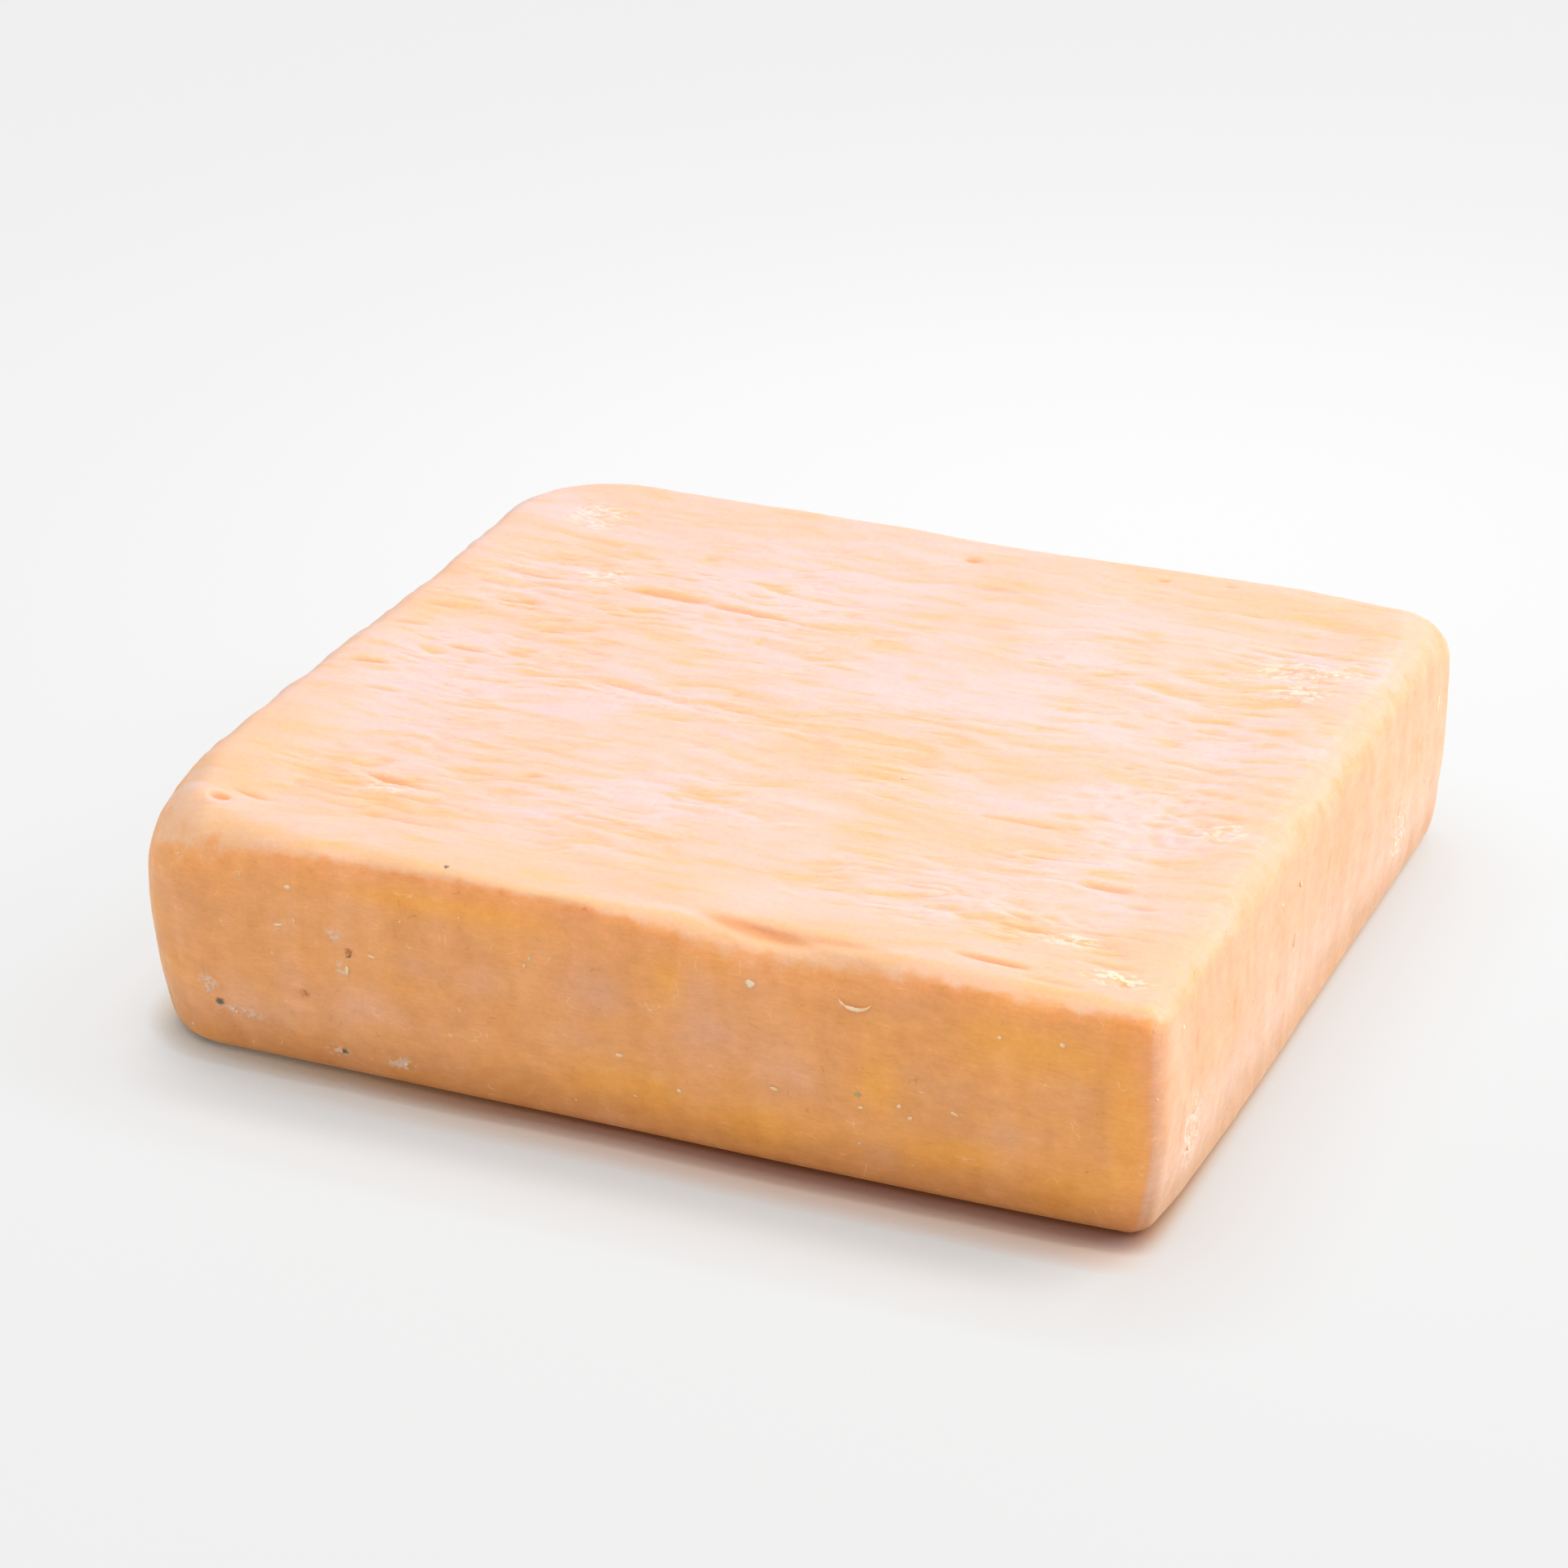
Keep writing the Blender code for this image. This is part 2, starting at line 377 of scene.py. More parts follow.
# The light of the room, and the lamps: place, side and power
ROOM_LIGHT = 0.66
LAMPS = {
    "key": (Vector((0.74, 0.30, 0.60)) * 1.6, 0.45, 19.5),
    "overhead": (Vector((-0.1, -0.4, 1.2)), 0.9, 5.6),
}

# The camera, found from the body's outline in the photo
CAMERA_AZIMUTH = math.radians(22.170)
CAMERA_ELEVATION = math.radians(25.333)
CAMERA_DISTANCE = 0.8163
CAMERA_TARGET = Vector((-0.0068, 0.0, 0.0281))


def srgb(red, green, blue):
    """A colour of the screen, 0 to 255, as the linear values a shader takes."""
    def linear(part):
        part /= 255
        return part / 12.92 if part <= 0.04045 else ((part + 0.055) / 1.055) ** 2.4
    return (linear(red), linear(green), linear(blue), 1.0)


def clamp(value, low, high):
    return max(low, min(high, value))


def ease(value):
    """Rises smoothly from 0 to 1 as value does."""
    value = clamp(value, 0.0, 1.0)
    return value * value * (3.0 - 2.0 * value)


def stops(cells, low, high):
    """Grid lines from low to high, closer together near both ends."""
    middle, half = (low + high) / 2, (high - low) / 2
    found = []
    for step in range(cells + 1):
        share = 2.0 * step / cells - 1.0
        bent = math.sin(share * math.pi / 2)
        found.append(middle + half * ((1 - CROWDING) * share + CROWDING * bent))
    return found


def corner_blend(values, x, y):
    """Blends a value kept for each corner of the plan."""
    right, back = (1 + x / HALF_X) / 2, (1 + y / HALF_Y) / 2
    total = 0.0
    for (side_x, side_y), value in values.items():
        share_x = right if side_x > 0 else 1 - right
        share_y = back if side_y > 0 else 1 - back
        total += value * share_x * share_y
    return total


def rim_radius(x, y):
    """The rim's radius, which differs where the cheese was pressed or handled."""
    radius = RIM_RADIUS
    for place_x, place_y, reach, extra in SOFT_RIM:
        away = math.hypot(x - place_x, y - place_y) / reach
        radius += extra * math.exp(-away * away)
    return radius


def rounded_box(x, y, z):
    """A point of the plain box's surface, moved onto the box with round edges.

    Returns the point and the direction that faces out of the surface there.
    """
    upper = z >= HEIGHT / 2
    radius = rim_radius(x, y) if upper else BASE_RADIUS
    flattest = 0.0 if upper else BASE_ANGLE
    along_wall = HEIGHT - z if upper else z
    along_face = min(HALF_X - abs(x), HALF_Y - abs(y))
    up_wall, over_face = min(along_wall, radius), min(along_face, radius)
    share = (1 + (up_wall - over_face) / radius) / 2
    turn = flattest + (math.pi / 2 - flattest) * share
    inset = radius * (1 - math.sin(turn))
    rise = along_wall - up_wall + radius * (math.cos(flattest) - math.cos(turn))

    corner = max(CORNER_RADIUS[1 if x > 0 else -1, 1 if y > 0 else -1], radius)
    core_x = clamp(x, corner - HALF_X, HALF_X - corner)
    core_y = clamp(y, corner - HALF_Y, HALF_Y - corner)
    from_core = Vector((x - core_x, y - core_y))
    resting = 0.0 if upper else 1 - ease(share * 2)
    power = 2 + (BASE_CORNER_POWER - 2) * resting
    spread = abs(from_core.x) ** power + abs(from_core.y) ** power
    outward = from_core / spread ** (1 / power) if spread > 0 else Vector((0, 0))
    reach = max(abs(from_core.x), abs(from_core.y)) + over_face - inset
    bow = BASE_BOW * resting * (1 - min(abs(x) / HALF_X, abs(y) / HALF_Y) ** 2)
    plan = Vector((core_x, core_y)) + outward * (reach - bow)

    facing = from_core.normalized() * math.sin(turn)
    if upper:
        return (
            Vector((plan.x, plan.y, HEIGHT - rise)),
            Vector((facing.x, facing.y, math.cos(turn))),
        )
    return (
        Vector((plan.x, plan.y, rise)),
        Vector((facing.x, facing.y, -math.cos(turn))),
    )


def tuck(x, y):
    """How far the wall leans in at the floor, by which walls are near."""
    left, right = ease(-x / HALF_X), ease(x / HALF_X)
    front, back = ease(-y / HALF_Y), ease(y / HALF_Y)
    in_x = TUCK_LEFT * left - TUCK_RIGHT * right
    in_y = TUCK_FRONT * front - TUCK_BACK * back
    return Vector((in_x, in_y))


def corner_tuck(x, y):
    """How much further the foot of a near corner is drawn in."""
    total = Vector((0, 0))
    for (side_x, side_y), drawn_in in CORNER_TUCK.items():
        near = (1 + side_x * x / HALF_X) * (1 + side_y * y / HALF_Y) / 4
        total += Vector(drawn_in) * near ** CORNER_TUCK_POWER
    return total


def settle(point, x, y):
    """Pulls the rounded box out of true."""
    height = clamp(point.z / HEIGHT, 0.0, 1.0)
    belly = BELLY * (1 - (2 * height - 1) ** 2)
    lean = tuck(x, y) * (1 - height) ** 2 + corner_tuck(x, y) * (1 - height) ** 4
    shift_x = corner_blend({k: v[0] for k, v in CORNER_SHIFT.items()}, x, y)
    shift_y = corner_blend({k: v[1] for k, v in CORNER_SHIFT.items()}, x, y)
    return Vector(
        (
            point.x * (1 + belly / HALF_X) + lean.x + shift_x,
            point.y * (1 + belly / HALF_Y) + lean.y + shift_y,
            point.z + corner_blend(CORNER_RISE, x, y) * height,
        )
    )


def top_relief(point):
    """Height of the top's own ground: the sag inside the rim, and the hollows."""
    from_edge = min(HALF_X - abs(point.x), HALF_Y - abs(point.y))
    height = -SAG * ease((from_edge - RIM_BAND / 2) / RIM_BAND)
    for centre_x, centre_y, half_length, half_width, depth in HOLLOWS:
        along = (point.x - centre_x) / half_length
        across = (point.y - centre_y) / half_width
        height -= depth * math.exp(-along * along - across * across)
    wrinkle_at = Vector(
        (
            point.x / WRINKLE_LENGTH,
            point.y / WRINKLE_WIDTH + noise.noise(point * 30.0),
            7.0,
        )
    )
    return height + WRINKLE_HEIGHT * noise.noise(wrinkle_at)


def relief(point, facing):
    """How far the rind stands out from the settled box, along facing."""
    swell = SWELL_HEIGHT * noise.noise(point / SWELL_SIZE + Vector((3.7, 1.3, 9.1)))
    up = ease((facing.z - 0.3) / 0.6)
    height = swell * (1 - 0.5 * up) + up * top_relief(point)
    return height * ease(point.z / FADE_AT_FLOOR)


def surface(x, y, z):
    """The cheese's surface and facing for a point of the plain box's surface."""
    point, facing = rounded_box(x, y, z)
    point = settle(point, x, y)
    return point + facing * relief(point, facing), facing


def on_side(side, along, across):
    """A place given in mm on a side, as surface point, facing, and two edges.

    The edges are the directions in which along and across grow.
    """
    along, across = along / 1000, across / 1000
    if side == "top":
        box_point, first, second = (along, across, HEIGHT), (1, 0, 0), (0, 1, 0)
    elif side == "front":
        box_point, first, second = (along, -HALF_Y, across), (1, 0, 0), (0, 0, 1)
    elif side == "back":
        box_point, first, second = (along, HALF_Y, across), (1, 0, 0), (0, 0, 1)
    elif side == "right":
        box_point, first, second = (HALF_X, along, across), (0, 1, 0), (0, 0, 1)
    else:
        box_point, first, second = (-HALF_X, along, across), (0, 1, 0), (0, 0, 1)
    point, facing = surface(*box_point)
    return point, facing, Vector(first), Vector(second)


class Mark:
    """A slit or pit with a slightly raised lip, cut by how near a point is."""

    LIP = 0.3
    LIP_WIDTH = 2.2

    def __init__(self, side, along, across, half_length, half_width, depth, turn):
        self.centre, _, first, second = on_side(side, along, across)
        angle = math.radians(turn)
        self.axis = first * math.cos(angle) + second * math.sin(angle)
        self.half_length = half_length / 1000
        self.half_width = half_width / 1000
        self.depth = depth / 1000
        self.reach = max(self.half_length * 1.6, self.half_width * 5)

    def cut(self, point):
        """How deep the mark goes at a point, and how much lip stands there."""
        offset = point - self.centre
        if offset.length_squared > self.reach * self.reach:
            return 0.0, 0.0
        along = offset.dot(self.axis)
        across = offset.length_squared - along * along
        taper = math.exp(-((along / self.half_length) ** 4))
        narrow = math.exp(-across / self.half_width ** 2)
        wide = math.exp(-across / (self.half_width * self.LIP_WIDTH) ** 2)
        return self.depth * taper * narrow, self.depth * self.LIP * taper * (wide - narrow)


class Patch:
    """A soft-edged patch of the rind, which also fades away from its own plane."""

    THICKNESS = 0.004

    def __init__(self, side, along, across, half_length, half_width):
        self.centre, _, self.first, self.second = on_side(side, along, across)
        self.half_length = half_length / 1000
        self.half_width = half_width / 1000
        self.reach = 2.2 * max(self.half_length, self.half_width)

    def share(self, point):
        offset = point - self.centre
        if offset.length_squared > self.reach * self.reach:
            return 0.0
        first = offset.dot(self.first) / self.half_length
        second = offset.dot(self.second) / self.half_width
        flat = offset.dot(self.first) ** 2 + offset.dot(self.second) ** 2
        third = (offset.length_squared - flat) / self.THICKNESS ** 2
        return math.exp(-first * first - second * second - max(0.0, third))


def strongest(patches, point):
    return max((patch.share(point) for patch in patches), default=0.0)


def rind_mesh():
    """The whole rind as one closed grid, with its marks cut in.

    Point attributes: up is how far the surface faces up, band is 1 in the
    smooth band along the rim, cut grows in slits and pits, and each kind of
    patch has one of its own.
    """
    lines_x = stops(CELLS_X, -HALF_X, HALF_X)
    lines_y = stops(CELLS_Y, -HALF_Y, HALF_Y)
    lines_z = stops(CELLS_Z, 0.0, HEIGHT)
    marks = [Mark(side, *mark) for side, group in MARKS.items() for mark in group]
    patches = {
        name: [Patch(side, *patch) for side, group in places.items() for patch in group]
        for name, places in PATCHES.items()
    }
    numbers, points, faces = {}, [], []
    values = {"up": [], "band": [], "cut": []}
    values.update({name: [] for name in patches})

    def vertex(i, j, k):
        if (i, j, k) in numbers:
            return numbers[i, j, k]
        x, y, z = lines_x[i], lines_y[j], lines_z[k]
        point, facing = surface(x, y, z)
        depth = lip = 0.0
        if z > 0:
            for mark in marks:
                one_depth, one_lip = mark.cut(point)
                depth, lip = max(depth, one_depth), max(lip, one_lip)
        from_edge = min(HALF_X - abs(x), HALF_Y - abs(y))
        values["up"].append(facing.z)
        values["band"].append(1 - ease((from_edge - RIM_BAND * 0.6) / (RIM_BAND * 0.7)))
        values["cut"].append(depth * 1000)
        for name, group in patches.items():
            values[name].append(strongest(group, point))
        numbers[i, j, k] = len(points)
        points.append(point + facing * (lip - depth))
        return numbers[i, j, k]

    inner_x = range(BASE_RINGS, CELLS_X - BASE_RINGS, COARSE)
    inner_y = range(BASE_RINGS, CELLS_Y - BASE_RINGS, COARSE)
    for i in range(CELLS_X):
        for j in range(CELLS_Y):
            cell = ((i, j), (i + 1, j), (i + 1, j + 1), (i, j + 1))
            faces.append([vertex(a, b, CELLS_Z) for a, b in cell])
            ring = min(i, j, CELLS_X - 1 - i, CELLS_Y - 1 - j)
            if ring < BASE_RINGS:
                faces.append([vertex(a, b, 0) for a, b in reversed(cell)])
    for i in inner_x:
        for j in inner_y:
            faces.append([vertex(a, b, 0) for a, b in reversed(coarse_cell(i, j))])
    for k in range(CELLS_Z):
        for i in range(CELLS_X):
            front = ((i, 0, k), (i + 1, 0, k), (i + 1, 0, k + 1), (i, 0, k + 1))
            faces.append([vertex(*p) for p in front])
            faces.append([vertex(a, CELLS_Y, c) for a, b, c in reversed(front)])
        for j in range(CELLS_Y):
            right = ((j, k), (j + 1, k), (j + 1, k + 1), (j, k + 1))
            faces.append([vertex(CELLS_X, b, c) for b, c in right])
            faces.append([vertex(0, b, c) for b, c in reversed(right)])

    mesh = bpy.data.meshes.new("rind")
    mesh.from_pydata(points, [], faces)
    for name, numbers_in_order in values.items():
        layer = mesh.attributes.new(name, "FLOAT", "POINT")
        layer.data.foreach_set("value", numbers_in_order)
    mesh.shade_smooth()
    return mesh


def coarse_cell(i, j):
    """The corners of a coarse cell of the underside, with the fine grid's own
    points along the sides that meet it."""
    far_i, far_j = i + COARSE, j + COARSE
    low_side = [(a, j) for a in range(i, far_i)]
    right_side = [(far_i, b) for b in range(j, far_j)]
    high_side = [(a, far_j) for a in range(far_i, i, -1)]
    left_side = [(i, b) for b in range(far_j, j, -1)]
    corners = []
    for side, fine in (
        (low_side, j == BASE_RINGS),
        (right_side, far_i == CELLS_X - BASE_RINGS),
        (high_side, far_j == CELLS_Y - BASE_RINGS),
        (left_side, i == BASE_RINGS),
    ):
        corners += side if fine else side[:1]
    return corners


class Board:
    """Lays out the nodes of one tree, for a material or for geometry."""

    def __init__(self, tree):
        self.tree = tree

    def add(self, kind, inputs=None, **settings):
        node = self.tree.nodes.new(kind)
        for name, value in settings.items():
            setattr(node, name, value)
        self.fill(node, inputs or {})
        return node

    def fill(self, node, inputs):
        for socket, value in inputs.items():
            self.put(node.inputs[socket], value)

    def put(self, socket, value):
        if isinstance(value, bpy.types.NodeSocket):
            self.tree.links.new(value, socket)
        else:
            socket.default_value = value

    def calc(self, operation, first, second=0.0, third=0.0, clamped=False):
        inputs = {0: first, 1: second, 2: third}
        node = self.add("ShaderNodeMath", inputs, operation=operation, use_clamp=clamped)
        return node.outputs[0]

    def times(self, first, second):
        return self.calc("MULTIPLY", first, second)

    def sway(self, total, value, gain):
        """Moves a total by how far a value is from one half, times a gain."""
        return self.calc("MULTIPLY_ADD", self.calc("SUBTRACT", value, 0.5), gain, total)

    def both_ways(self, value):
        """Turns a value from 0 to 1 into one from -1 to 1."""
        return self.times(self.calc("SUBTRACT", value, 0.5), 2.0)

    def step(self, value, low, high, to_low=0.0, to_high=1.0):
        """Rises smoothly from to_low to to_high as value goes from low to high."""
        inputs = {0: value, 1: low, 2: high, 3: to_low, 4: to_high}
        node = self.add("ShaderNodeMapRange", inputs, interpolation_type="SMOOTHSTEP")
        return node.outputs[0]

    def vector(self, operation, first, second):
        node = self.add("ShaderNodeVectorMath", {0: first, 1: second}, operation=operation)
        return node.outputs[0]

    def split(self, vector):
        return self.add("ShaderNodeSeparateXYZ", {0: vector}).outputs

    def distance(self, place, centre):
        inputs = {0: place, 1: centre}
        return self.add("ShaderNodeVectorMath", inputs, operation="DISTANCE").outputs["Value"]

    def join(self, *parts):
        return self.add("ShaderNodeCombineXYZ", dict(enumerate(parts))).outputs[0]

    def kept(self, name):
        """An attribute that the rind's mesh keeps at each point."""
        if self.tree.type == "SHADER":
            return self.add("ShaderNodeAttribute", attribute_name=name).outputs["Fac"]
        node = self.add("GeometryNodeInputNamedAttribute", {"Name": name}, data_type="FLOAT")
        return node.outputs["Attribute"]

    def noise(self, place, detail=2.0, roughness=0.5, colour=False):
        """Noise over a place that is already scaled: about 0.25 to 0.75."""
        inputs = {"Vector": place, "Scale": 1.0, "Detail": detail, "Roughness": roughness}
        node = self.add("ShaderNodeTexNoise", inputs)
        return node.outputs["Color" if colour else "Fac"]

    def cell_edges(self, place):
        """How far a place is from the edge of its cell, in cells of uneven form."""
        inputs = {"Vector": place, "Scale": 1.0}
        return self.add("ShaderNodeTexVoronoi", inputs, feature="DISTANCE_TO_EDGE").outputs["Distance"]

    def sized(self, place, size, offset=(0.0, 0.0, 0.0)):
        """Divides a place by a size along each axis, in mm, and shifts it."""
        scaled = self.vector("MULTIPLY", place, [1000 / part for part in size])
        return self.vector("ADD", scaled, offset)

    def wander(self, place, size, reach, offset=(0.0, 0.0, 0.0)):
        """Moves a place about by up to half the reach, so that what it draws bends."""
        drift = self.noise(self.sized(place, (size, size, size), offset), 1.0, colour=True)
        drift = self.vector("SUBTRACT", drift, (0.5, 0.5, 0.5))
        return self.vector("ADD", place, self.vector("MULTIPLY", drift, (reach, reach, reach)))

    def blend(self, share, first, second, kind="MIX"):
        node = self.add("ShaderNodeMix", data_type="RGBA", blend_type=kind)
        self.put(node.inputs[0], share)
        self.put(node.inputs[6], first)
        self.put(node.inputs[7], second)
        return node.outputs[2]

    def tint(self, colour, share, low, high):
        """Multiplies a colour by a tint that goes from low to high with the share."""
        tint = self.blend(share, (*low, 1.0), (*high, 1.0))
        return self.blend(1.0, colour, tint, "MULTIPLY")


def new_tree(name, inputs):
    """A geometry tree with a geometry socket and named number inputs."""
    tree = bpy.data.node_groups.new(name, "GeometryNodeTree")
    tree.interface.new_socket("Geometry", in_out="INPUT", socket_type="NodeSocketGeometry")
    tree.interface.new_socket("Geometry", in_out="OUTPUT", socket_type="NodeSocketGeometry")
    for label, (kind, value) in inputs.items():
        socket = tree.interface.new_socket(label, in_out="INPUT", socket_type=kind)
        socket.default_value = value
    return tree


def run_tree(tree, mesh, name):
    """Runs a geometry tree on a mesh and returns the result as a plain object."""
    carrier = bpy.data.objects.new(name + "_carrier", mesh)
    bpy.context.scene.collection.objects.link(carrier)
    modifier = carrier.modifiers.new(tree.name, "NODES")
    modifier.node_group = tree
    evaluated = carrier.evaluated_get(bpy.context.evaluated_depsgraph_get())
    result = bpy.data.meshes.new_from_object(evaluated)
    result.name = name
    carrier.modifiers.remove(modifier)
    bpy.data.objects.remove(carrier, do_unlink=True)
    made = bpy.data.objects.new(name, result)
    bpy.context.scene.collection.objects.link(made)
    return made


FLOAT = "NodeSocketFloat"


def relief_tree(material):
    """Raises the rind's fine relief along the normals.

    The top has wrinkles and fine lines along X, creases between them, and a
    net of small dents near the right wall. The rim has small waves. The walls
    have lumps and faint level ripples. The result keeps an attribute, low, that
    grows from 0 to 1 towards the bottom of the relief.
    """
    tree = new_tree(
        "rind_relief",
        {
            "Wrinkle height": (FLOAT, 0.00052),
            "Crease depth": (FLOAT, 0.00022),
            "Line height": (FLOAT, 0.00012),
            "Wall lump height": (FLOAT, 0.00048),
            "Wall ripple height": (FLOAT, 0.00007),
            "Flake height": (FLOAT, 0.00030),
            "Rim wave height": (FLOAT, 0.00070),
            "Net height": (FLOAT, 0.00045),
            "Short wrinkle height": (FLOAT, 0.00050),
            "Full depth": (FLOAT, 0.0011),
        },
    )
    b = Board(tree)
    given = b.add("NodeGroupInput").outputs
    place = b.add("GeometryNodeInputPosition").outputs[0]
    normal = b.add("GeometryNodeInputNormal").outputs[0]
    up = b.kept("up")
    on_top = b.step(up, 0.55, 0.97)
    on_wall = b.calc("SUBTRACT", 1.0, b.step(b.calc("ABSOLUTE", up), 0.35, 0.85))
    wandering = b.wander(place, 28, 0.010)

    # The top: wrinkles and lines with creases between, calmer in places and at the rim
    wrinkle = b.both_ways(b.noise(b.sized(wandering, (15, 4.2, 12)), 2.0, 0.45))
    crease = b.noise(b.sized(wandering, (22, 6.0, 15), (11, 5, 3)), 1.0)
    crease = b.step(b.calc("ABSOLUTE", b.calc("SUBTRACT", crease, 0.5)), 0.0, 0.035, 1.0, 0.0)
    lines = b.both_ways(b.noise(b.sized(wandering, (11, 1.6, 9), (2, 8, 5)), 1.0))
    calm = b.step(b.noise(b.sized(place, (34, 26, 40), (4, 1, 2)), 1.0), 0.36, 0.62, 0.35, 1.15)
    calm = b.times(calm, b.calc("SUBTRACT", 1.0, b.times(b.kept("band"), 0.62)))
    top_height = b.times(wrinkle, given["Wrinkle height"])
    top_height = b.calc("SUBTRACT", top_height, b.times(crease, given["Crease depth"]))
    top_height = b.calc("ADD", top_height, b.times(lines, given["Line height"]))
    top_height = b.times(top_height, b.times(calm, on_top))

    # Short close wrinkles and nets of dents, in their patches of the top
    short = b.step(b.noise(b.sized(wandering, (8.5, 2.2, 9), (6, 1, 4)), 1.0), 0.30, 0.48, -1.0, 0.15)
    short = b.times(short, b.times(b.kept("wrinkled"), given["Short wrinkle height"]))
    top_height = b.calc("ADD", top_height, short)
    net = b.step(b.cell_edges(b.sized(wandering, (5.0, 3.6, 6), (2, 4, 0))), 0.0, 0.38, 0.6, -0.4)
    net = b.times(net, b.times(b.kept("dented"), given["Net height"]))
    top_height = b.calc("ADD", top_height, net)

    # The rim's waves, and the walls' lumps and ripples
    on_rim = b.times(b.step(up, -0.1, 0.45), b.step(up, 0.70, 0.98, 1.0, 0.0))
    wave = b.both_ways(b.noise(b.sized(place, (10.5, 10.5, 30), (5, 2, 8)), 2.0, 0.5))
    wave = b.times(wave, b.times(on_rim, given["Rim wave height"]))
    lump = b.both_ways(b.noise(b.sized(place, (9, 9, 16), (1, 6, 2)), 2.0, 0.55))
    ripple = b.both_ways(b.noise(b.sized(place, (18, 18, 1.4)), 1.0))
    wall_height = b.times(lump, given["Wall lump height"])
    wall_height = b.calc("ADD", wall_height, b.times(ripple, given["Wall ripple height"]))
    wall_height = b.times(wall_height, on_wall)

    # Plates of dry rind with cracks between, where it flakes
    plates = b.step(b.cell_edges(b.sized(wandering, (3.4, 1.7, 2.2))), 0.02, 0.22, -0.5, 0.5)
    plates = b.times(plates, b.times(b.kept("flaking"), given["Flake height"]))

    height = b.calc("ADD", b.calc("ADD", top_height, wall_height), b.calc("ADD", plates, wave))
    height = b.times(height, b.step(b.split(place)["Z"], 0.0, 0.004))
    low = b.calc("SUBTRACT", 0.5, b.calc("DIVIDE", height, given["Full depth"]), clamped=True)
    keep_low = b.add(
        "GeometryNodeStoreNamedAttribute",
        {"Geometry": given["Geometry"], "Name": "low", "Value": low},
        data_type="FLOAT",
        domain="POINT",
    )
    offset = b.add("ShaderNodeVectorMath", {0: normal, 3: height}, operation="SCALE").outputs[0]
    raised = b.add("GeometryNodeSetPosition", {"Geometry": keep_low.outputs[0], "Offset": offset})
    finish_tree(b, raised.outputs[0], material)
    return tree


def finish_tree(b, geometry, material):
    """Ends a geometry tree: instances made real, shaded smooth, with a material."""
    real = b.add("GeometryNodeRealizeInstances", {"Geometry": geometry})
    smooth = b.add("GeometryNodeSetShadeSmooth", {"Geometry": real.outputs[0]})
    painted = b.add("GeometryNodeSetMaterial", {"Geometry": smooth.outputs[0], "Material": material})
    b.add("NodeGroupOutput", {"Geometry": painted.outputs[0]})


def scatter(b, given, density, item, lean, least, most, size):
    """Sets an item all over the rind, turned at random and leaning a little.

    Its stretch along each axis is drawn between least and most, and then
    multiplied by size.
    """
    scattered = b.add(
        "GeometryNodeDistributePointsOnFaces",
        {"Mesh": given["Geometry"], "Density": density, "Seed": given["Seed"]},
    )
    turn = b.add(
        "FunctionNodeRandomValue",
        {"Min": (-lean, -lean, 0.0), "Max": (lean, lean, math.tau)},
        data_type="FLOAT_VECTOR",
    )
    spun = b.add(
        "FunctionNodeRotateRotation",
        {"Rotation": scattered.outputs["Rotation"], "Rotate By": turn.outputs["Value"]},
        rotation_space="LOCAL",
    )
    stretch = b.add("FunctionNodeRandomValue", {"Min": least, "Max": most}, data_type="FLOAT_VECTOR")
    scale = b.add("ShaderNodeVectorMath", {0: stretch.outputs["Value"], 3: size}, operation="SCALE")
    placed = b.add(
        "GeometryNodeInstanceOnPoints",
        {
            "Points": scattered.outputs["Points"],
            "Instance": item,
            "Rotation": spun.outputs[0],
            "Scale": scale.outputs[0],
        },
    )
    return placed.outputs[0]


def speck_tree(material):
    """Scatters small flat specks over the walls and the flaking patches."""
    tree = new_tree(
        "rind_specks",
        {
            "Specks per square metre": (FLOAT, 2600.0),
            "In flaking": (FLOAT, 26000.0),
            "In mould": (FLOAT, 120000.0),
            "Speck size": (FLOAT, 0.00042),
            "Seed": ("NodeSocketInt", SCATTER_SEED),
        },
    )
    b = Board(tree)
    given = b.add("NodeGroupInput").outputs
    up = b.kept("up")
    on_wall = b.calc("SUBTRACT", 1.0, b.step(b.calc("ABSOLUTE", up), 0.3, 0.8))
    density = b.times(on_wall, given["Specks per square metre"])
    flaking = b.times(b.step(b.kept("flaking"), 0.25, 0.9), given["In flaking"])
    mould = b.times(b.step(b.kept("mould"), 0.35, 0.9), given["In mould"])
    density = b.calc("ADD", density, b.calc("ADD", flaking, mould))
    density = b.times(density, b.step(up, -0.6, -0.3))
    speck = b.add("GeometryNodeMeshIcoSphere", {"Radius": 1.0, "Subdivisions": 1}).outputs["Mesh"]
    least, most = (0.35, 0.25, 0.12), (1.5, 0.8, 0.30)
    specks = scatter(b, given, density, speck, 0.0, least, most, given["Speck size"])
    finish_tree(b, specks, material)
    return tree


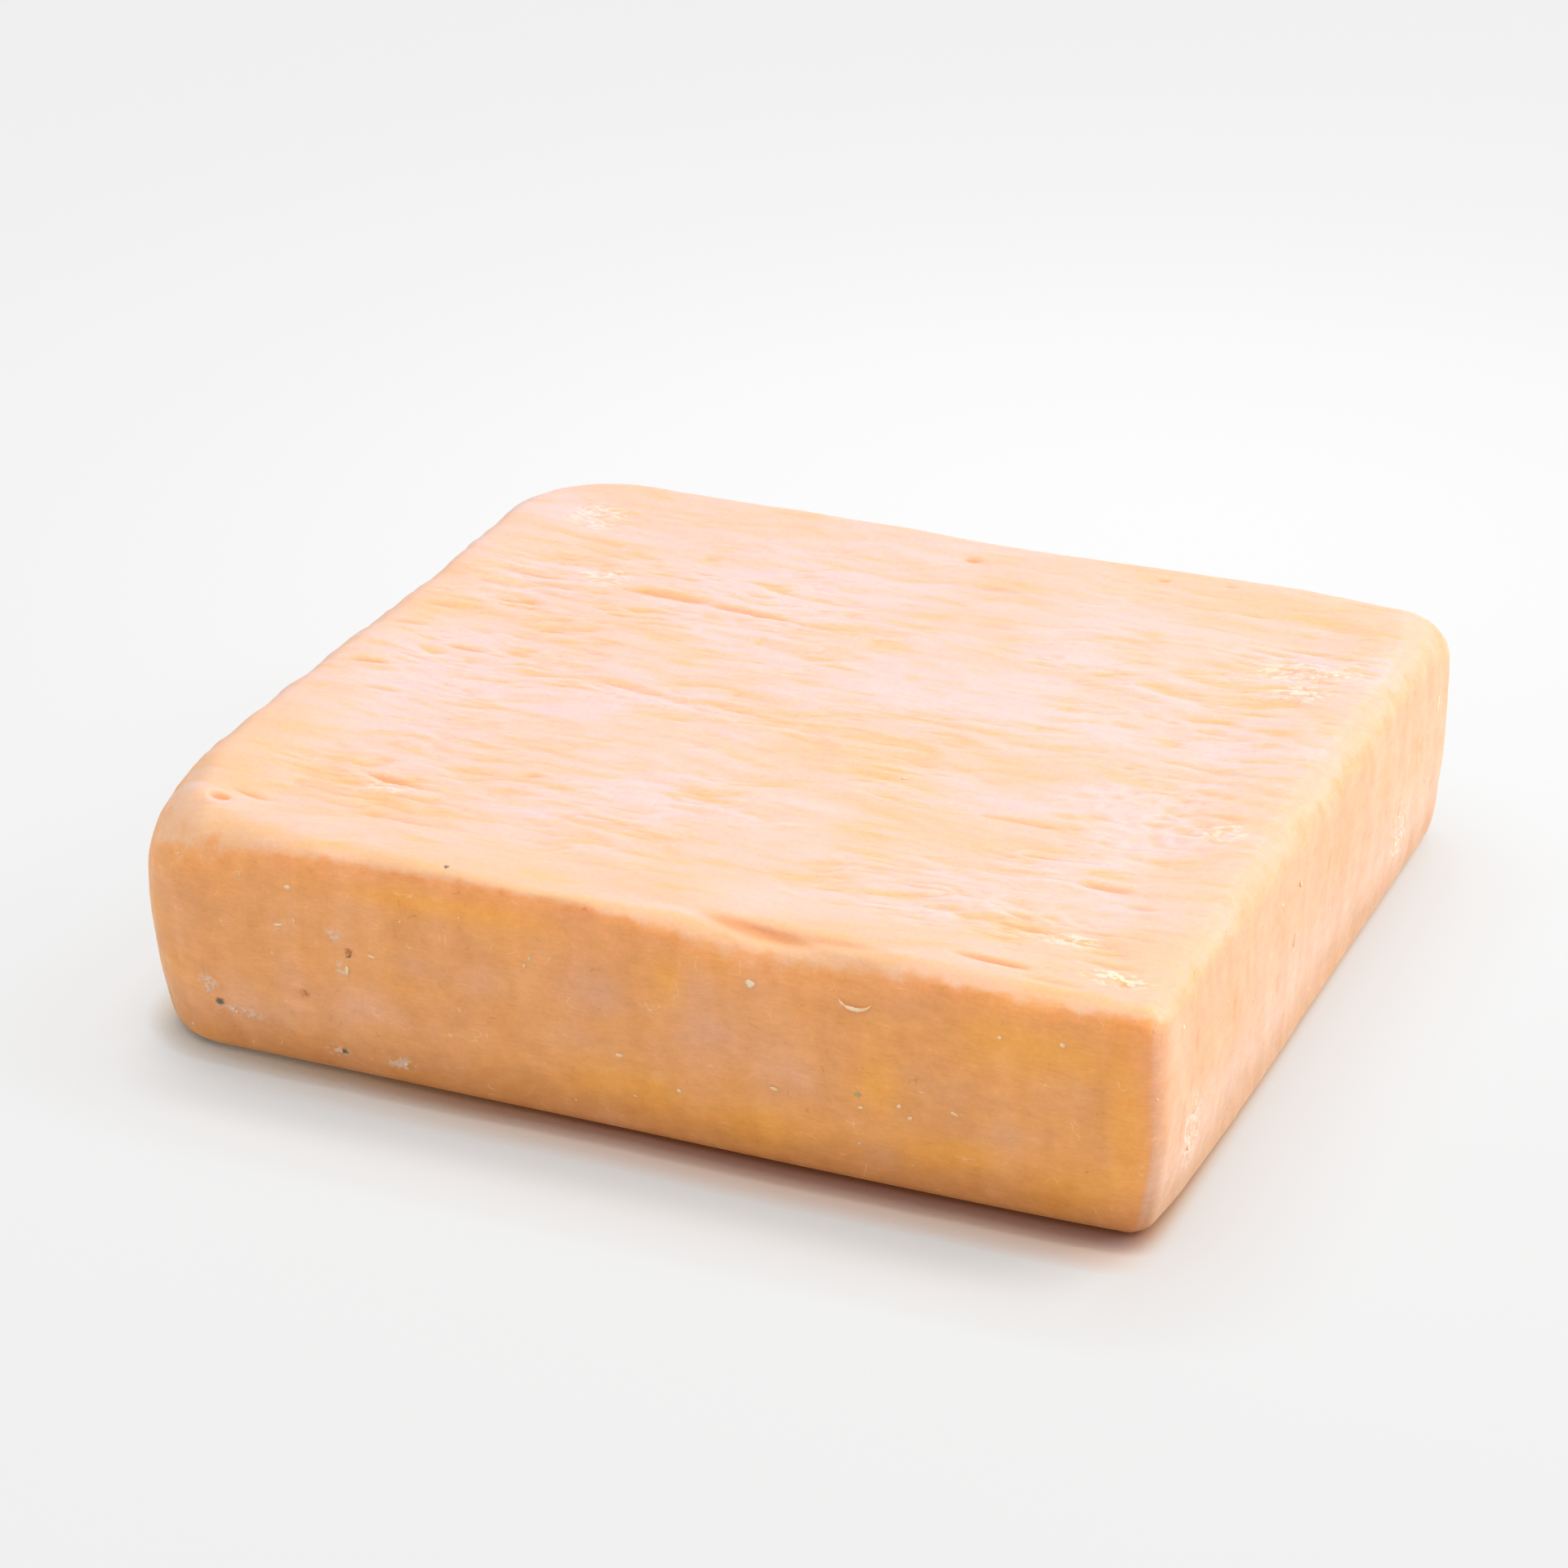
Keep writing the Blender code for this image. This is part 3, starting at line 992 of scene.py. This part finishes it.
def curl_tree(material):
    """Scatters thin curled shavings of dry rind low on the walls."""
    tree = new_tree(
        "rind_curls",
        {
            "Curls per square metre": (FLOAT, 1500.0),
            "Curl radius": (FLOAT, 0.0011),
            "Thread radius": (FLOAT, 0.00011),
            "Seed": ("NodeSocketInt", SCATTER_SEED + 1),
        },
    )
    b = Board(tree)
    given = b.add("NodeGroupInput").outputs
    height = b.split(b.add("GeometryNodeInputPosition").outputs[0])["Z"]
    low_down = b.times(b.step(height, 0.003, 0.006), b.step(height, 0.008, 0.016, 1.0, 0.12))
    on_wall = b.calc("SUBTRACT", 1.0, b.step(b.calc("ABSOLUTE", b.kept("up")), 0.5, 0.9))
    density = b.times(b.times(low_down, on_wall), given["Curls per square metre"])
    arc = b.add(
        "GeometryNodeCurveArc",
        {"Resolution": 8, "Radius": given["Curl radius"], "Sweep Angle": math.radians(150)},
    )
    thread = b.add(
        "GeometryNodeCurvePrimitiveCircle", {"Resolution": 4, "Radius": given["Thread radius"]}
    )
    curl = b.add(
        "GeometryNodeCurveToMesh",
        {"Curve": arc.outputs["Curve"], "Profile Curve": thread.outputs["Curve"], "Fill Caps": True},
    ).outputs["Mesh"]
    curls = scatter(b, given, density, curl, 0.2, (0.4, 0.3, 0.5), (1.3, 1.1, 1.0), 1.0)
    finish_tree(b, curls, material)
    return tree


def new_material(name):
    material = bpy.data.materials.new(name)
    material.use_nodes = True
    b = Board(material.node_tree)
    return material, b, material.node_tree.nodes["Principled BSDF"]


BLOOM_PINK = srgb(231, 196, 189)
TOP_PEACH = srgb(232, 187, 156)
TOP_YELLOW = srgb(232, 182, 122)
# Painted shade: the warm colour of the top's slopes that face away from the light
TOP_PAINTED_LEE_SHADE = srgb(236, 187, 134)
# The bare orange rind in slits and pits, darker partly as painted shade
CREVICE_ORANGE_AND_SHADE = srgb(226, 152, 92)
# Painted shade for the rim on the right, where the key light falls
RIM_PAINTED_SHADE = srgb(226, 178, 148)
WALL_TAN = srgb(237, 168, 108)
WALL_MAUVE = srgb(235, 175, 138)
WALL_YELLOW = srgb(247, 174, 84)
# Painted light: the pale pink of the wall that faces the key light
WALL_PAINTED_LIGHT_PINK = srgb(230, 190, 166)
# Dark cracks, and the floors of the pits, which are partly painted shade
WALL_CRACK_AND_PIT_SHADE = srgb(198, 120, 62)
WALL_SCRATCH = srgb(246, 206, 156)
DRY_WHITE = srgb(240, 226, 212)
MOULD_PALE = srgb(226, 208, 192)
MOULD_GREY = srgb(64, 78, 78)
MOULD_GREEN = srgb(188, 160, 112)
FLAKE_TAN = srgb(238, 200, 150)
FLAKE_CREAM = srgb(244, 216, 180)

# Small spots of the rind: side, place on it and radius in mm, and colour. They are
# the grey hearts of the mould, and the brown floors of the pits, dark partly as painted shade.
SPOTS = (
    ("front", -79.0, 11.6, 1.1, MOULD_GREY),
    ("front", -80.6, 14.2, 0.6, MOULD_GREY),
    ("front", -54.5, 6.0, 0.8, MOULD_GREY),
    ("front", 44.8, 20.6, 0.8, MOULD_GREEN),
    ("front", -51.3, 27.7, 1.1, WALL_CRACK_AND_PIT_SHADE),
    ("front", -51.6, 26.9, 0.6, MOULD_GREY),
    ("front", -60.9, 17.2, 1.1, WALL_CRACK_AND_PIT_SHADE),
    ("top", -33.2, -88.0, 0.6, MOULD_GREY),
    ("back", 46, 8, 1.2, MOULD_GREY),
    ("left", -66, 9, 1.2, MOULD_GREY),
)


def washed_rind():
    """The rind: peach and orange, with a pink bloom on what stands up, thinner in the hollows partly
    as painted shade.
    """
    material, b, shader = new_material("washed_rind")
    place = b.add("ShaderNodeTexCoord").outputs["Object"]
    at = b.split(place)
    slope = b.split(b.add("ShaderNodeNewGeometry").outputs["Normal"])
    wandering = b.wander(place, 28, 0.010)
    low = b.kept("low")
    mottle = b.noise(b.sized(place, (4.2, 4.2, 3.4), (4, 6, 1)), 2.0, 0.5)
    on_top = b.step(b.sway(b.kept("up"), mottle, 0.8), 0.38, 0.80)

    # The top: bloom on what stands up, peach between, yellow where it is bare. The hollows'
    # lack of bloom and their yellow are partly painted shade, and the paler back is painted sheen.
    broad = b.noise(b.sized(place, (46, 30, 40), (7, 3, 1)), 1.0)
    streak = b.noise(b.sized(wandering, (17, 3.6, 9), (3, 2, 9)), 2.0, 0.5)
    fine_streak = b.noise(b.sized(wandering, (9, 0.9, 5)), 2.0, 0.5)
    bloom = b.sway(0.62, broad, 2.6)
    bloom = b.sway(bloom, streak, 1.3)
    bloom = b.sway(bloom, fine_streak, 0.35)
    # Partly painted shade: the lower ground of the relief is painted less pink and, below, yellower
    bloom = b.sway(bloom, low, -1.2)
    # Painted sheen: the top is painted pinker and paler towards the back, where the light grazes it
    bloom = b.calc("ADD", bloom, b.step(at["Y"], -0.06, 0.07, -0.12, 0.18))
    bloom = b.calc("SUBTRACT", bloom, b.times(b.kept("band"), 0.30), clamped=True)
    top_colour = b.blend(bloom, TOP_PEACH, BLOOM_PINK)
    bare = b.noise(b.sized(wandering, (13, 3.2, 9), (5, 9, 4)), 2.0, 0.5)
    bare = b.step(b.sway(bare, low, 0.45), 0.50, 0.78, 0.0, 0.62)
    top_colour = b.blend(bare, top_colour, TOP_YELLOW)
    # Painted shade: slopes of the top and the front rim that face forward, away from the key light,
    # are painted warmer
    painted_lee_shade = b.step(slope["Y"], 0.0, -0.30, 0.0, 0.5)
    top_colour = b.blend(painted_lee_shade, top_colour, TOP_PAINTED_LEE_SHADE)

    # The rim on the right catches the key light; its colour is painted a little deeper and pinker
    # there, a painted shade that tones that light down
    rim_painted_shade = b.times(b.step(slope["X"], 0.10, 0.45), b.step(slope["Z"], 0.10, 0.45, 0.0, 0.6))
    top_colour = b.blend(rim_painted_shade, top_colour, RIM_PAINTED_SHADE)

    # The walls: tan, with a mauve bloom in patches and yellow where bare; the right wall, which
    # faces the key light, is painted paler and pinker as painted light. Bands and level brush
    # marks cross them, and the foot is darker with painted shade near the table.
    bands = b.noise(b.sized(place, (8, 8, 60), (2, 5, 1)), 2.0, 0.6)
    blotch = b.noise(b.sized(place, (16, 16, 14), (8, 4, 6)), 1.0, 0.55)
    uneven = b.calc("MULTIPLY_ADD", blotch, 0.6, b.times(bands, 0.4))
    mauve = b.sway(b.calc("MULTIPLY_ADD", b.kept("mauve"), 0.75, 0.02), uneven, 2.0)
    # Painted light: the wall facing the key light is painted pinker, less yellow and paler, most of
    # all low down
    painted_light_right = b.step(slope["X"], 0.35, 0.70)
    mauve = b.calc("MULTIPLY_ADD", painted_light_right, 0.45, mauve, clamped=True)
    wall_colour = b.blend(mauve, WALL_TAN, WALL_MAUVE)
    yellow = b.noise(b.sized(place, (13, 13, 9), (3, 1, 7)), 1.0, 0.6)
    yellow = b.sway(b.calc("MULTIPLY_ADD", b.kept("bare"), 0.85, 0.14), yellow, 1.0)
    yellow = b.calc("MULTIPLY", yellow, b.calc("MULTIPLY_ADD", painted_light_right, -0.8, 1.0), clamped=True)
    wall_colour = b.blend(yellow, wall_colour, WALL_YELLOW)
    pale = b.times(painted_light_right, b.step(at["Z"], 0.006, 0.034, 0.75, 0.30))
    wall_colour = b.blend(pale, wall_colour, WALL_PAINTED_LIGHT_PINK)
    banded = b.step(bands, 0.32, 0.68)
    wall_colour = b.tint(wall_colour, banded, (0.970, 0.955, 0.925), (1.02, 1.03, 1.045))
    brushed_level = b.noise(b.sized(place, (3.0, 3.0, 0.50), (5, 3, 2)), 2.0, 0.6)
    brushed = b.step(brushed_level, 0.32, 0.68)
    wall_colour = b.tint(wall_colour, brushed, (0.975, 0.965, 0.94), (1.02, 1.025, 1.04))
    # Painted shade: the foot of the walls is painted darker and browner close to the table
    above_painted_foot_shade = b.step(at["Z"], 0.003, 0.014)
    wall_colour = b.tint(wall_colour, above_painted_foot_shade, (0.83, 0.75, 0.61), (1.0, 1.0, 1.0))
    mottled = b.step(mottle, 0.35, 0.65)
    wall_colour = b.tint(wall_colour, mottled, (0.97, 0.96, 0.935), (1.025, 1.035, 1.055))
    hair = b.noise(b.sized(place, (3.4, 3.4, 2.4), (4, 8, 2)), 0.0)
    hair = b.step(b.calc("ABSOLUTE", b.calc("SUBTRACT", hair, 0.5)), 0.004, 0.016, 1.0, 0.0)
    scratched = b.times(hair, b.step(mottle, 0.58, 0.66, 0.0, 0.6))
    wall_colour = b.blend(scratched, wall_colour, WALL_SCRATCH)
    cracked = b.times(hair, b.step(mottle, 0.34, 0.40, 0.40, 0.0))
    wall_colour = b.blend(cracked, wall_colour, WALL_CRACK_AND_PIT_SHADE)

    # Both together: orange in the slits and pits, partly the bare rind and partly painted shade,
    # ragged spots, and a fine grain
    colour = b.blend(on_top, wall_colour, top_colour)
    deep = b.step(b.kept("cut"), 0.05, 0.75, 0.0, 0.75)
    deep = b.times(deep, b.calc("MULTIPLY_ADD", on_top, 0.6, 0.4))
    colour = b.blend(deep, colour, CREVICE_ORANGE_AND_SHADE)
    ragged = b.wander(place, 0.7, 0.0012, (2, 2, 7))
    for side, along, across, radius, hue in SPOTS:
        away = b.distance(ragged, on_side(side, along, across)[0])
        spot = b.step(away, 0.45 * radius / 1000, radius / 1000, 0.85, 0.0)
        colour = b.blend(spot, colour, hue)
    grain = b.noise(b.sized(place, (0.9, 0.9, 0.9)), 2.0, 0.65)
    colour = b.tint(colour, b.step(grain, 0.3, 0.7), (0.975, 0.97, 0.96), (1.02, 1.025, 1.03))

    # Dry flakes and mould
    chips = b.noise(b.sized(wandering, (2.4, 0.9, 1.4), (1, 1, 5)), 1.0, 0.7)
    chips = b.times(b.step(chips, 0.49, 0.60), b.step(b.kept("flaking"), 0.10, 0.75))
    colour = b.blend(b.times(chips, 0.65), colour, DRY_WHITE)
    fuzz = b.noise(b.sized(place, (1.3, 1.3, 1.1), (6, 2, 8)), 1.0, 0.7)
    fuzz = b.times(b.step(fuzz, 0.46, 0.58), b.step(b.kept("mould"), 0.15, 0.75))
    colour = b.blend(b.times(fuzz, 0.6), colour, MOULD_PALE)

    # Fine bump: lines along X on top and level ones on the walls, grain all over
    lines = b.add("ShaderNodeMix", {0: on_top, 2: brushed_level, 3: fine_streak}).outputs[0]
    bump_height = b.calc("MULTIPLY_ADD", lines, 0.7, b.times(grain, 0.9))
    bump = b.add("ShaderNodeBump", {"Strength": 0.38, "Distance": 0.00022, "Height": bump_height})
    gloss = b.step(b.calc("MULTIPLY_ADD", low, -0.5, grain), 0.1, 0.6, 0.42, 0.60)
    b.fill(
        shader,
        {
            "Base Color": colour,
            "Roughness": gloss,
            "Normal": bump.outputs[0],
            "Specular IOR Level": 0.35,
            "Subsurface Weight": 0.65,
            "Subsurface Radius": (1.0, 0.42, 0.15),
            "Subsurface Scale": 0.0055,
        },
    )
    return material


def dry_flake():
    """Dry pale rind of the specks and flakes."""
    material, b, shader = new_material("dry_flake")
    place = b.add("ShaderNodeTexCoord").outputs["Object"]
    shade = b.noise(b.sized(place, (3, 3, 3)), 2.0)
    colour = b.blend(b.step(shade, 0.35, 0.65), FLAKE_TAN, FLAKE_CREAM)
    grain = b.noise(b.sized(place, (0.35, 0.35, 0.35)), 2.0, 0.7)
    bump = b.add("ShaderNodeBump", {"Strength": 0.5, "Distance": 0.0001, "Height": grain})
    b.fill(
        shader,
        {
            "Base Color": colour,
            "Normal": bump.outputs[0],
            "Roughness": 0.75,
            "Subsurface Weight": 0.2,
            "Subsurface Radius": (1.0, 0.6, 0.4),
            "Subsurface Scale": 0.0006,
        },
    )
    return material


def flakes_mesh():
    """The larger pale flakes, each a flat lump with an uneven outline."""
    bm = bmesh.new()
    rng = random.Random(SCATTER_SEED)
    for side, group in FLAKES.items():
        for along, across, half_length, half_width in group:
            point, facing, first, _ = on_side(side, along, across)
            second = facing.cross(first).normalized()
            first = second.cross(facing).normalized()
            frame_of = Matrix((first, second, facing)).transposed()
            turn = Matrix.Rotation(rng.uniform(-0.5, 0.5), 3, "Z")
            made = bmesh.ops.create_icosphere(bm, subdivisions=2, radius=1.0)
            phase = Vector((rng.uniform(0, 9), rng.uniform(0, 9), rng.uniform(0, 9)))
            for vert in made["verts"]:
                x, y, z = vert.co
                uneven = 1 + 0.45 * noise.noise(vert.co * 1.7 + phase)
                shape = Vector((x * half_length * uneven, y * half_width * uneven, z * FLAKE_RISE))
                vert.co = point + frame_of @ (turn @ shape) / 1000
    return to_mesh(bm, "pale_flakes")


def crescent_mesh():
    """The curled crescent of lifted rind high on the front wall."""
    centre, facing, first, second = on_side("front", 44.4, 39.2)
    radius, start, sweep = 0.0029, -math.radians(165), math.radians(150)
    steps, sides = 18, 8
    bm = bmesh.new()
    rings = []
    for step in range(steps + 1):
        share = step / steps
        angle = start + sweep * share
        pinch = 1 - 0.7 * math.exp(-((share - 0.22) / 0.06) ** 2)
        swell = math.sin(math.pi * share) ** 0.7 * pinch
        width, thick = 0.00030 * swell + 0.00006, 0.00028 * swell + 0.00005
        spoke = first * math.cos(angle) + second * math.sin(angle) * 0.62
        middle = centre + spoke * radius + facing * 0.0002
        across = spoke.normalized()
        ring = []
        for side in range(sides):
            round_angle = math.tau * side / sides
            out = across * math.cos(round_angle) * width + facing * math.sin(round_angle) * thick
            uneven = 1 + 0.5 * noise.noise(Vector((step * 0.7, side * 0.7, 3.0)))
            ring.append(bm.verts.new(middle + out * uneven))
        rings.append(ring)
    for ring, after in zip(rings, rings[1:]):
        for side in range(sides):
            following = (side + 1) % sides
            bm.faces.new((ring[side], after[side], after[following], ring[following]))
    bm.faces.new(rings[0])
    bm.faces.new(reversed(rings[-1]))
    bmesh.ops.recalc_face_normals(bm, faces=bm.faces)
    return to_mesh(bm, "crescent_flake")


def to_mesh(bm, name):
    mesh = bpy.data.meshes.new(name)
    bm.to_mesh(mesh)
    bm.free()
    mesh.shade_smooth()
    return mesh


def place_piece(mesh, name, material):
    piece = bpy.data.objects.new(name, mesh)
    piece.data.materials.append(material)
    bpy.context.scene.collection.objects.link(piece)
    return piece


def floor_plane():
    """A plain pale table, lit from below, that the cheese lies on.

    Painted shade darkens the table's glow close to what stands on it, browner the nearer, and a
    painted pool of light brightens it behind the cheese.
    """
    mesh = bpy.data.meshes.new("table_top")
    signs = ((-1, -1), (1, -1), (1, 1), (-1, 1))
    corners = [Vector((x * TABLE_HALF, y * TABLE_HALF, 0)) for x, y in signs]
    mesh.from_pydata(corners, [], [(0, 1, 2, 3)])
    material, b, shader = new_material("pale_table")
    place = b.add("ShaderNodeTexCoord").outputs["Object"]
    away = b.calc("DIVIDE", b.distance(place, POOL_MIDDLE), POOL_REACH)
    pool = b.calc("EXPONENT", b.times(b.times(away, away), -1.0))
    pool = b.calc("MULTIPLY_ADD", pool, POOL_LIGHT, 1.0)
    glow = b.join(pool, pool, pool)
    towards_light = b.join(*SHADE_FROM)
    across = b.split(place)["X"]
    # Painted shades: the glow is darkened, browner the nearer, where the cheese hides the sky towards
    # SHADE_FROM
    for reach, powers, at_left, at_right in TABLE_SHADES:
        open_air = b.add(
            "ShaderNodeAmbientOcclusion", {"Distance": reach, "Normal": towards_light}, samples=2
        ).outputs["AO"]
        from_left = b.step(across, -HALF_X, 0.2 * HALF_X, at_left, 1.0)
        to_right = b.step(across, 0.9 * HALF_X, HALF_X, 1.0, at_right)
        fullness = b.times(from_left, to_right)
        shade = b.join(*[b.calc("POWER", open_air, b.times(fullness, power)) for power in powers])
        glow = b.vector("MULTIPLY", glow, shade)
    b.fill(
        shader,
        {
            "Emission Color": glow,
            "Emission Strength": TABLE_GLOW,
            "Base Color": (0.05, 0.05, 0.05, 1.0),
            "Roughness": 0.6,
            "Specular IOR Level": 0.1,
        },
    )
    return place_piece(mesh, "table_top", material)


def soft_light(name, place, side, power):
    light = bpy.data.lights.new(name, "AREA")
    light.shape = "SQUARE"
    light.size = side
    light.energy = power
    lamp = bpy.data.objects.new(name, light)
    lamp.location = place
    towards = Vector((0, 0, 0.03)) - Vector(place)
    lamp.rotation_euler = towards.to_track_quat("-Z", "Y").to_euler()
    bpy.context.scene.collection.objects.link(lamp)


def studio():
    scene = bpy.context.scene
    world = bpy.data.worlds.new("studio")
    world.use_nodes = True
    backdrop = world.node_tree.nodes["Background"]
    backdrop.inputs["Color"].default_value = (1, 1, 1, 1)
    backdrop.inputs["Strength"].default_value = ROOM_LIGHT
    scene.world = world
    scene.view_settings.view_transform = "Standard"
    scene.view_settings.look = "None"
    for name, (place, side, power) in LAMPS.items():
        soft_light(name, place, side, power)


def camera():
    """A level camera at the photo's angle, found from the body's outline."""
    back = Vector(
        (
            math.sin(CAMERA_AZIMUTH) * math.cos(CAMERA_ELEVATION),
            -math.cos(CAMERA_AZIMUTH) * math.cos(CAMERA_ELEVATION),
            math.sin(CAMERA_ELEVATION),
        )
    )
    lens = bpy.data.cameras.new("camera")
    lens.lens = 100
    lens.sensor_width = 36
    eye = bpy.data.objects.new("camera", lens)
    eye.location = CAMERA_TARGET + back * CAMERA_DISTANCE
    eye.rotation_euler = (-back).to_track_quat("-Z", "Y").to_euler()
    bpy.context.scene.collection.objects.link(eye)
    bpy.context.scene.camera = eye


def main():
    rind_look = washed_rind()
    flake_look = dry_flake()
    rind = run_tree(relief_tree(rind_look), rind_mesh(), "rind")
    specks = run_tree(speck_tree(flake_look), rind.data, "rind_specks")
    curls = run_tree(curl_tree(flake_look), rind.data, "rind_curls")
    flakes = place_piece(flakes_mesh(), "pale_flakes", flake_look)
    crescent = place_piece(crescent_mesh(), "crescent_flake", flake_look)
    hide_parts("cheese")
    for piece in (rind, specks, curls, flakes, crescent):
        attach(piece, "root")
    floor_plane()
    studio()
    camera()


main()
